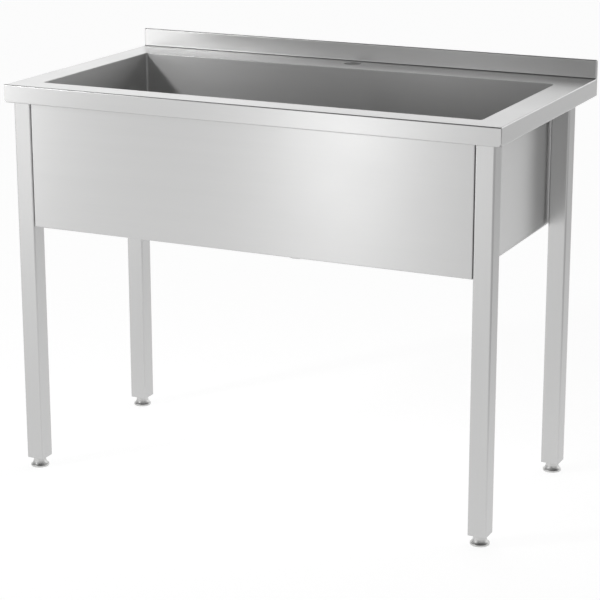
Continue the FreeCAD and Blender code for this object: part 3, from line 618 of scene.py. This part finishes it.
# %% Draw the waste and its nut
FLANGE_TOP, FLANGE_UNDER, BODY_END, OUTLET_END = 542, 540, 514, 474
FLANGE_RADIUS, OUTLET_RADIUS, OUTLET_BORE, OUTLET_SEAT = 36, 20, 18, BODY_END + 1.2
WASTE_RADIUS, WASTE_PITCH, WASTE_DEPTH, WASTE_COUNT = 25, 2, 0.9, 72
NUT_LOW, NUT_HIGH, NUT_CORNER, NUT_ROUND, NUT_BORE, NUT_COUNT = 523.8, 535.8, 36, 33.4, 25.1, 96
body_profile = [
    (OUTLET_BORE, OUTLET_END), (19.6, OUTLET_END), (OUTLET_RADIUS, OUTLET_END + 0.5),
    (OUTLET_RADIUS, BODY_END - 0.4), (20.4, BODY_END), (23.6, BODY_END),
]
flange_profile = [
    (24.1, FLANGE_UNDER), (35.3, FLANGE_UNDER), (FLANGE_RADIUS, FLANGE_UNDER + 0.5),
    (FLANGE_RADIUS, FLANGE_TOP - 0.9), (35.2, FLANGE_TOP - 0.2), (34, FLANGE_TOP),
    (22.2, FLANGE_TOP), (21.3, FLANGE_TOP - 0.3), (21, FLANGE_TOP - 1), (21, OUTLET_SEAT),
    (OUTLET_BORE, OUTLET_SEAT), (OUTLET_BORE, OUTLET_END),
]
thread = thread_rings(
    WASTE_RADIUS, BODY_END, FLANGE_UNDER, WASTE_PITCH, WASTE_DEPTH, BOWL_CENTRE, WASTE_COUNT
)
outside, inside = [
    [round_ring(radius, z, BOWL_CENTRE, WASTE_COUNT) for radius, z in profile]
    for profile in (body_profile, flange_profile)
]
waste = add_piece(
    "waste_flange_body", bridge(outside + thread + inside), "stand", "waste_steel", "waste_body"
)
nut_profile = [
    (NUT_BORE, NUT_LOW), (27, NUT_LOW), (NUT_ROUND, NUT_LOW), (NUT_CORNER, NUT_LOW + 1.4, 8),
    (NUT_CORNER, NUT_HIGH - 1.4, 8), (NUT_ROUND, NUT_HIGH), (NUT_BORE, NUT_HIGH),
    (NUT_BORE, NUT_LOW),
]
nut = add_piece(
    "waste_locknut", lathe(nut_profile, BOWL_CENTRE, NUT_COUNT), "stand", "nut_plastic",
    "waste_backnut",
)
print("waste and nut faces:", len(waste.data.polygons) + len(nut.data.polygons))

# %% Draw the stopper and the standpipe
STOPPER_TIP, STOPPER_TOP, TUBE_FOOT, STOPPER_COUNT = 525, 552, 528, 64
STOPPER_BORE, PIPE_SEAT = 14.8, 15.5
stopper_profile = [
    (STOPPER_BORE, STOPPER_TIP), (19.2, STOPPER_TIP), (19.75, STOPPER_TIP + 0.6), (20.1, 530.5),
    (19.6, 531), (19.6, 532), (20.2, 532.5), (20.35, 535.5), (19.9, 536), (19.9, 537),
    (20.45, 537.5), (20.7, 542), (22.4, 542), (23, 542.6), (23, 549.6), (22.6, 551),
    (21.6, 551.8), (20.4, STOPPER_TOP), (16.1, STOPPER_TOP), (PIPE_SEAT, 551.4),
    (PIPE_SEAT, TUBE_FOOT), (STOPPER_BORE, TUBE_FOOT), (STOPPER_BORE, STOPPER_TIP),
]
stopper = add_piece(
    "standpipe_seal", lathe(stopper_profile, BOWL_CENTRE, STOPPER_COUNT), "standpipe",
    "seal_rubber", "standpipe_stopper",
)
PIPE_RADIUS, PIPE_BEAD, PIPE_WALL, PIPE_TOP, PIPE_COLUMNS = 15.4, 0.6, 1.2, 782, 84
PIPE_FOLD, PIPE_EDGE = 0.4, 0.25
SLOT_LOW, SLOT_HIGH, SLOT_END, SLOTS, SLOT_COLUMNS = 756, 774, 2, 6, 4


def pipe_polygons():
    """The tube's outer face with slots near its top and a small bead round its mouth."""
    mouth = PIPE_RADIUS + PIPE_BEAD
    bead = [
        (PIPE_RADIUS, PIPE_TOP - 2.6), (mouth, PIPE_TOP - 1.9), (mouth, PIPE_TOP - 0.6),
        (15.5, PIPE_TOP),
    ]
    heights = [TUBE_FOOT, SLOT_LOW, SLOT_LOW + SLOT_END, SLOT_HIGH - SLOT_END, SLOT_HIGH]
    profile = [(PIPE_RADIUS, z) for z in heights] + bead
    quads = bridge([round_ring(radius, z, BOWL_CENTRE, PIPE_COLUMNS) for radius, z in profile])
    spacing = PIPE_COLUMNS // SLOTS
    kept = []
    for index, quad in enumerate(quads):
        row, column = divmod(index, PIPE_COLUMNS)
        place = (column + SLOT_COLUMNS // 2) % spacing
        in_middle = row == 2 and place < SLOT_COLUMNS
        in_end = row in (1, 3) and 0 < place < SLOT_COLUMNS - 1
        if not (in_middle or in_end):
            kept.append(quad)
    return kept


pipe = add_piece(
    "standpipe_pipe", pipe_polygons(), "standpipe", "waste_steel", "standpipe_tube"
)
fold_sheet(pipe, PIPE_WALL, PIPE_FOLD, edge=PIPE_EDGE)
for piece in (waste, nut, stopper):
    add_even_shading(piece)
print("stopper, and pipe with", SLOTS, "slots")

# %% [markdown]
# ## The pieces that keep their solids
# The rails, the leg sockets, the seal, the washer and the strainer have the right shape already.
# They stay as they came from the frame, and a small bevel lets their edges catch the light.

# %% Soften the solids that stay
KEPT_SOLIDS = {
    "rail_steel": ["front_rail", "rear_rail", "left_rail", "right_rail"],
    "leg_steel": ["leg_socket_" + corner for corner in LEGS],
    "seal_rubber": ["waste_gasket"],
    "nut_plastic": ["waste_washer"],
    "waste_steel": ["waste_strainer"],
}
kept_by_slot = {
    slot: [frame["nodes"][name] for name in names] for slot, names in KEPT_SOLIDS.items()
}
for pieces in kept_by_slot.values():
    for piece in pieces:
        add_bevel(piece, CUT_EDGE, EDGE_SEGMENTS, False)
        add_even_shading(piece)
print("solids kept:", sum(len(pieces) for pieces in kept_by_slot.values()))

# %% [markdown]
# ## Brushed grain, one group for every steel
# All the steel here is brushed: long fine scratches along one direction, with broader streaks
# where the belt ran a little harder. The group stretches three noises along U, which is the
# direction of the grain, and puts out a height for the bump, a streak value for colour and
# roughness, and a slow cloud for the marks that hands and rags leave. An image of real brushing
# would do the same, but it would repeat and would need a file.

# %% Helpers for shader nodes
def new_group(name, inputs, outputs):
    """A shader node group with float sockets, and its input and output nodes."""
    group = bpy.data.node_groups.new(name, "ShaderNodeTree")
    for label, kind, default in inputs:
        socket = group.interface.new_socket(label, in_out="INPUT", socket_type=kind)
        if default is not None:
            socket.default_value = default
    for label in outputs:
        group.interface.new_socket(label, in_out="OUTPUT", socket_type="NodeSocketFloat")
    return group, group.nodes.new("NodeGroupInput"), group.nodes.new("NodeGroupOutput")


def math_node(tree, operation, first, second):
    """A math node fed by sockets or numbers."""
    node = tree.nodes.new("ShaderNodeMath")
    node.operation = operation
    for socket, source in zip(node.inputs, (first, second)):
        if isinstance(source, (int, float)):
            socket.default_value = source
        else:
            tree.links.new(source, socket)
    return node.outputs[0]


def stretched_noise(tree, vector, along, across, detail):
    """Noise whose cells are long in U and short in V, by cells per metre."""
    scale = tree.nodes.new("ShaderNodeVectorMath")
    scale.operation = "MULTIPLY"
    scale.inputs[1].default_value = (along, across, across)
    noise = tree.nodes.new("ShaderNodeTexNoise")
    noise.inputs["Scale"].default_value = 1
    noise.inputs["Detail"].default_value = detail
    tree.links.new(vector, scale.inputs[0])
    tree.links.new(scale.outputs[0], noise.inputs["Vector"])
    return noise.outputs["Fac"]


print("node helpers: a group, a math node and a noise stretched along the grain")

# %% Build the brushed grain group
# Cells per metre along the grain and across it, and detail: fine, medium, broad and cloud.
GRAIN_NOISES = ((26, 2600, 2), (5, 420, 2), (1.1, 46, 1), (3.4, 4.6, 3))
MEDIUM_HEIGHT, MEDIUM_STREAK, BROAD_STREAK = 0.6, 0.45, 0.55
grain_group, grain_in, grain_out = new_group(
    "brushed grain", [("Vector", "NodeSocketVector", None), ("Evenness", "NodeSocketFloat", 0.5)],
    ["Height", "Streak", "Cloud"],
)
fine, medium, broad, cloud = [
    stretched_noise(grain_group, grain_in.outputs["Vector"], *noise) for noise in GRAIN_NOISES
]
height = math_node(
    grain_group, "ADD", fine, math_node(grain_group, "MULTIPLY", medium, MEDIUM_HEIGHT)
)
streak = math_node(
    grain_group, "ADD", math_node(grain_group, "MULTIPLY", medium, MEDIUM_STREAK),
    math_node(grain_group, "MULTIPLY", broad, BROAD_STREAK),
)
uneven = math_node(grain_group, "SUBTRACT", 1, grain_in.outputs["Evenness"])
centred = math_node(
    grain_group, "MULTIPLY", math_node(grain_group, "SUBTRACT", streak, 0.5), uneven
)
grain_group.links.new(height, grain_out.inputs["Height"])
grain_group.links.new(math_node(grain_group, "ADD", centred, 0.5), grain_out.inputs["Streak"])
grain_group.links.new(cloud, grain_out.inputs["Cloud"])
print("group", grain_group.name, "has", len(grain_group.nodes), "nodes")

# %% [markdown]
# ## Steel finishes
# One function makes every steel from the shared group. A brushed face is rough across its grain
# and smooth along it, so reflections are drawn out into soft upright bands. That is what the
# Anisotropic value does, together with a tangent taken from the grain's UV map. Streaks move the
# colour and the roughness by a few hundredths only: more than that looks like dirt.

# %% Helpers that start a finish
FINISHES = {}


def link_math(tree, source, centre, amount):
    """A value round a centre, moved by a source whose own middle is a half."""
    moved = math_node(tree, "MULTIPLY", math_node(tree, "SUBTRACT", source, 0.5), amount)
    return math_node(tree, "ADD", moved, centre)


def start_finish(name, group, coordinates):
    """A new material that holds a group: its node tree, its shader and the group's node."""
    material = FINISHES[name] = bpy.data.materials.new(name + "_finish")
    material.use_nodes = True
    tree = material.node_tree
    placed = tree.nodes.new("ShaderNodeGroup")
    placed.node_tree = group
    place = tree.nodes.new("ShaderNodeTexCoord")
    tree.links.new(place.outputs[coordinates], placed.inputs["Vector"])
    return tree, tree.nodes["Principled BSDF"], placed


def add_tint(tree, shader, source, colour, spread):
    """A base colour that the source makes darker or lighter by up to that share."""
    tint = tree.nodes.new("ShaderNodeMix")
    tint.data_type = "RGBA"
    for label, share in (("A", 1 - spread), ("B", 1 + spread)):
        tint.inputs[label].default_value = (*[value * share for value in colour], 1)
    tree.links.new(source, tint.inputs["Factor"])
    tree.links.new(tint.outputs["Result"], shader.inputs["Base Color"])


def add_relief(tree, shader, source, strength, distance):
    """A bump of that depth in metres from a height."""
    relief = tree.nodes.new("ShaderNodeBump")
    relief.inputs["Strength"].default_value = strength
    relief.inputs["Distance"].default_value = distance
    tree.links.new(source, relief.inputs["Height"])
    tree.links.new(relief.outputs["Normal"], shader.inputs["Normal"])


print("finish helpers: the material with its group, the tint and the relief")

# %% Make the steels
STREAK_TINT, STREAK_SHEEN, CLOUD_SHEEN = 0.06, 0.1, 0.07
GRAIN_BUMP, GRAIN_DEPTH, QUARTER_TURN = 0.1, 0.00003, 0.25


def brushed_steel(name, colour, roughness, anisotropic, evenness=0.5, has_uv=True):
    """A brushed stainless steel with its grain along U, or along X where a piece has no UV map."""
    tree, shader, grain = start_finish(name, grain_group, "UV" if has_uv else "Object")
    grain.inputs["Evenness"].default_value = evenness
    add_tint(tree, shader, grain.outputs["Streak"], colour, STREAK_TINT)
    streaky = link_math(tree, grain.outputs["Streak"], roughness, STREAK_SHEEN)
    cloudy = link_math(tree, grain.outputs["Cloud"], streaky, CLOUD_SHEEN)
    tree.links.new(cloudy, shader.inputs["Roughness"])
    add_relief(tree, shader, grain.outputs["Height"], GRAIN_BUMP, GRAIN_DEPTH)
    shader.inputs["Metallic"].default_value = 1
    if has_uv:
        shader.inputs["Anisotropic"].default_value = anisotropic
        shader.inputs["Anisotropic Rotation"].default_value = QUARTER_TURN
        tangent = tree.nodes.new("ShaderNodeTangent")
        tangent.direction_type = "UV_MAP"
        tangent.uv_map = "grain"
        tree.links.new(tangent.outputs[0], shader.inputs["Tangent"])
    print("steel:", name, "roughness", roughness, "anisotropic", anisotropic)


STEEL = (0.58, 0.58, 0.578)
brushed_steel("worktop_steel", STEEL, 0.3, 0.6)
brushed_steel("bowl_steel", STEEL, 0.36, 0.9)
brushed_steel("panel_steel", STEEL, 0.3, 0.7)
brushed_steel("leg_steel", STEEL, 0.34, 0.5)
brushed_steel("rail_steel", (0.58, 0.58, 0.576), 0.36, 0, has_uv=False)
brushed_steel("foot_steel", (0.6, 0.6, 0.595), 0.42, 0, 0.8, has_uv=False)
brushed_steel("screw_steel", (0.56, 0.56, 0.555), 0.26, 0, 0.8, has_uv=False)
brushed_steel("waste_steel", (0.63, 0.63, 0.626), 0.2, 0, 0.7, has_uv=False)

# %% [markdown]
# ## Plastic and rubber
# The inserts and the backnut are moulded, and the seals are rubber. Both have a fine grain from
# the mould and a sheen that is a little uneven, which one more small group gives.

# %% Make the plastics and the rubber
PORE_DETAIL, PATCH_SCALE = 3, 60
PATCH_TINT, PATCH_SHEEN, PORE_DEPTH = 0.15, 0.12, 0.0001
mould_group, mould_in, mould_out = new_group(
    "moulded skin", [("Vector", "NodeSocketVector", None), ("Size", "NodeSocketFloat", 900.0)],
    ["Height", "Patches"],
)
pores = mould_group.nodes.new("ShaderNodeTexNoise")
pores.inputs["Detail"].default_value = PORE_DETAIL
patches = mould_group.nodes.new("ShaderNodeTexNoise")
patches.inputs["Scale"].default_value = PATCH_SCALE
mould_group.links.new(mould_in.outputs["Vector"], pores.inputs["Vector"])
mould_group.links.new(mould_in.outputs["Size"], pores.inputs["Scale"])
mould_group.links.new(mould_in.outputs["Vector"], patches.inputs["Vector"])
mould_group.links.new(pores.outputs["Fac"], mould_out.inputs["Height"])
mould_group.links.new(patches.outputs["Fac"], mould_out.inputs["Patches"])


def moulded(name, colour, roughness, size, bump):
    """A moulded plastic or rubber of that colour, with a grain of that many cells per metre."""
    tree, shader, skin = start_finish(name, mould_group, "Object")
    skin.inputs["Size"].default_value = size
    add_tint(tree, shader, skin.outputs["Patches"], colour, PATCH_TINT)
    uneven_sheen = link_math(tree, skin.outputs["Patches"], roughness, PATCH_SHEEN)
    tree.links.new(uneven_sheen, shader.inputs["Roughness"])
    add_relief(tree, shader, skin.outputs["Height"], bump, PORE_DEPTH)
    print("moulded:", name)


moulded("seal_rubber", (0.035, 0.035, 0.037), 0.62, 1400.0, 0.35)
moulded("plug_plastic", (0.05, 0.05, 0.052), 0.5, 900.0, 0.3)
moulded("nut_plastic", (0.72, 0.72, 0.7), 0.42, 900.0, 0.2)

# %% [markdown]
# ## Giving each piece its finish
# Each piece already names the slot it takes its finish from, so one loop can dress them all, and
# the solids that stayed take the finish of their own slot. Only the leg sockets differ: they have
# no map for the legs' grain, so they take the steel of the rails.

# %% Dress every piece
dressed = 0
for piece in list(bpy.context.scene.objects):
    if piece.type == "MESH" and "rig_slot" in piece:
        piece.data.materials.clear()
        piece.data.materials.append(FINISHES[piece["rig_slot"]])
        dressed += 1
for slot, pieces in kept_by_slot.items():
    for piece in pieces:
        finish = FINISHES["rail_steel" if slot == "leg_steel" else slot]
        for material_slot in piece.material_slots:
            material_slot.material = finish
        dressed += 1
print("pieces dressed:", dressed)

# %% [markdown]
# ## The floor
# The photograph has a white ground with only a trace of shadow. A matt floor lit by soft light is
# light grey, so it also glows a little, but only where the camera or a reflection looks at it:
# the glow gives the white ground, and it puts no extra light on matt pieces. More lamps would
# whiten the ground as well, but they would bleach the steel first. The glow is painted shade
# to the right of the sink, where it is weaker, and darkest where the camera stands, as in a studio
# lit from the left. The camera sees neither part, but the right faces and the corners mirror this
# painted shade, and that is what sets them off from the front.

# %% Helpers that grade a value
def tone_along(tree, source, start, end, first, last):
    """A grey that goes softly from one value to another while the source goes from start to end."""
    node = tree.nodes.new("ShaderNodeMapRange")
    node.interpolation_type = "SMOOTHSTEP"
    labels = ("From Min", "From Max", "To Min", "To Max")
    for label, value in zip(labels, (start, end, first, last)):
        node.inputs[label].default_value = value
    tree.links.new(source, node.inputs["Value"])
    return node.outputs["Result"]


def xyz_parts(tree, source):
    """The three parts of a place or a direction."""
    node = tree.nodes.new("ShaderNodeSeparateXYZ")
    tree.links.new(source, node.inputs[0])
    return node.outputs


print("grading helpers: a soft step in tone, and the parts of a place")

# %% Lay the floor
FLOOR_REACH, FLOOR_DROP = 40, 0.0005
# The glow levels to the right of the sink and towards the camera are painted shade, which the steel
# mirrors.
FLOOR_PAINT, FLOOR_GLOW, FLOOR_SHADED_GLOW_RIGHT, FLOOR_SHADED_GLOW_CAMERA = 0.42, 0.83, 0.48, 0.42
RIGHT_START, RIGHT_END = 0.75, 2.0
CAMERA_START, CAMERA_END, CAMERA_SLANT = 1.0, 1.85, 0.5
floor_mesh = bpy.data.meshes.new("studio_floor")
floor_corners = [
    (side_x * FLOOR_REACH, side_y * FLOOR_REACH, 0)
    for side_x, side_y in ((-1, -1), (1, -1), (1, 1), (-1, 1))
]
floor_mesh.from_pydata(floor_corners, [], [(0, 1, 2, 3)])
floor = bpy.data.objects.new("studio_floor", floor_mesh)
floor.location.z = -FLOOR_DROP
bpy.context.scene.collection.objects.link(floor)
floor_paint_and_glow = bpy.data.materials.new("floor_paint_and_glow")
floor_paint_and_glow.use_nodes = True
tree = floor_paint_and_glow.node_tree
tree.nodes.remove(tree.nodes["Principled BSDF"])
matt = tree.nodes.new("ShaderNodeBsdfDiffuse")
matt.inputs["Color"].default_value = (FLOOR_PAINT, FLOOR_PAINT, FLOOR_PAINT, 1)
glow = tree.nodes.new("ShaderNodeEmission")
path = tree.nodes.new("ShaderNodeLightPath")
seen = math_node(tree, "MAXIMUM", path.outputs["Is Camera Ray"], path.outputs["Is Glossy Ray"])
seen = math_node(tree, "MAXIMUM", seen, path.outputs["Is Transmission Ray"])
place = xyz_parts(tree, tree.nodes.new("ShaderNodeNewGeometry").outputs["Position"])
# Painted shade: the glow grows weaker to the right of the sink and towards the camera.
painted_shade_right = tone_along(tree, place["X"], RIGHT_START, RIGHT_END, FLOOR_GLOW, FLOOR_SHADED_GLOW_RIGHT)
forwards = math_node(tree, "MULTIPLY", place["Y"], CAMERA_SLANT)
to_camera = math_node(tree, "SUBTRACT", place["X"], forwards)
painted_shade_camera = tone_along(tree, to_camera, CAMERA_START, CAMERA_END, 1.0, FLOOR_SHADED_GLOW_CAMERA / FLOOR_SHADED_GLOW_RIGHT)
strength = math_node(tree, "MULTIPLY", painted_shade_right, painted_shade_camera)
tree.links.new(math_node(tree, "MULTIPLY", seen, strength), glow.inputs["Strength"])
both = tree.nodes.new("ShaderNodeAddShader")
tree.links.new(matt.outputs[0], both.inputs[0])
tree.links.new(glow.outputs[0], both.inputs[1])
tree.links.new(both.outputs[0], tree.nodes["Material Output"].inputs["Surface"])
floor_mesh.materials.append(floor_paint_and_glow)
print("floor reaches", FLOOR_REACH, "m each way")

# %% [markdown]
# ## The room and the lamps
# Steel shows what stands round it, so the room matters more than the lamps. Here it is bright
# behind the sink, less than half as bright behind the camera and at the sides, and dark overhead.
# That gives the upstand, the rear rim, the bowl and the fold lines their dark tones. The soft
# upright bands on the front come from two tall narrow lamps at the front left, drawn out by the
# brushing. A third, high up, reaches into the bowl, where the left rim cuts its light off along a
# slanted line. A picture of a studio would do all this at once, but it would be a file.

# %% Light the room
WALL_FRONT, WALL_REAR, WALL_SIDES, OVERHEAD = 0.5, 1.3, 0.45, 0.15
WALL_START, WALL_FULL, OVERHEAD_START, OVERHEAD_FULL = 0.1, 0.9, 0.35, 0.75
world = bpy.data.worlds.new("studio")
bpy.context.scene.world = world
world.use_nodes = True
tree = world.node_tree
towards = xyz_parts(tree, tree.nodes.new("ShaderNodeTexCoord").outputs["Generated"])
front_wall = tone_along(tree, towards["Y"], WALL_START, -WALL_FULL, 0, WALL_FRONT)
rear_wall = tone_along(tree, towards["Y"], -WALL_START, WALL_FULL, 0, WALL_REAR)
leftwards = math_node(tree, "MULTIPLY", towards["X"], -1)
sideways = math_node(tree, "MAXIMUM", towards["X"], leftwards)
side_walls = tone_along(tree, sideways, WALL_START, WALL_FULL, 0, WALL_SIDES)
walls = math_node(tree, "ADD", math_node(tree, "ADD", front_wall, rear_wall), side_walls)
overhead = tone_along(tree, towards["Z"], OVERHEAD_START, OVERHEAD_FULL, 1, OVERHEAD)
room = math_node(tree, "MULTIPLY", walls, overhead)
tree.links.new(room, tree.nodes["Background"].inputs["Color"])
print("wall tones:", WALL_FRONT, WALL_REAR, WALL_SIDES, " overhead:", OVERHEAD)

# %% Place the lamps
# Name, place, width and height, power, and the point that the lamp is aimed at.
LAMPS = [
    ("strip_lamp_centre", (-0.75, -2.5, 0.75), (0.4, 1.5), 2.4, (-0.2, -0.3, 0.7)),
    ("strip_lamp_left", (-2.1, -2.2, 0.75), (0.4, 1.5), 3.6, (-0.6, -0.3, 0.7)),
    ("high_lamp", (-1.9, -2.05, 2.3), (0.25, 0.35), 9.5, (-0.3, 0, 0.8)),
]
for name, place, size, power, aim in LAMPS:
    lamp_data = bpy.data.lights.new(name, "AREA")
    lamp_data.shape = "RECTANGLE"
    lamp_data.size, lamp_data.size_y = size
    lamp_data.energy = power
    lamp = bpy.data.objects.new(name, lamp_data)
    lamp.location = place
    lamp.rotation_euler = (Vector(aim) - Vector(place)).to_track_quat("-Z", "Y").to_euler()
    lamp.visible_camera = False
    bpy.context.scene.collection.objects.link(lamp)
print("lamps:", len(LAMPS))
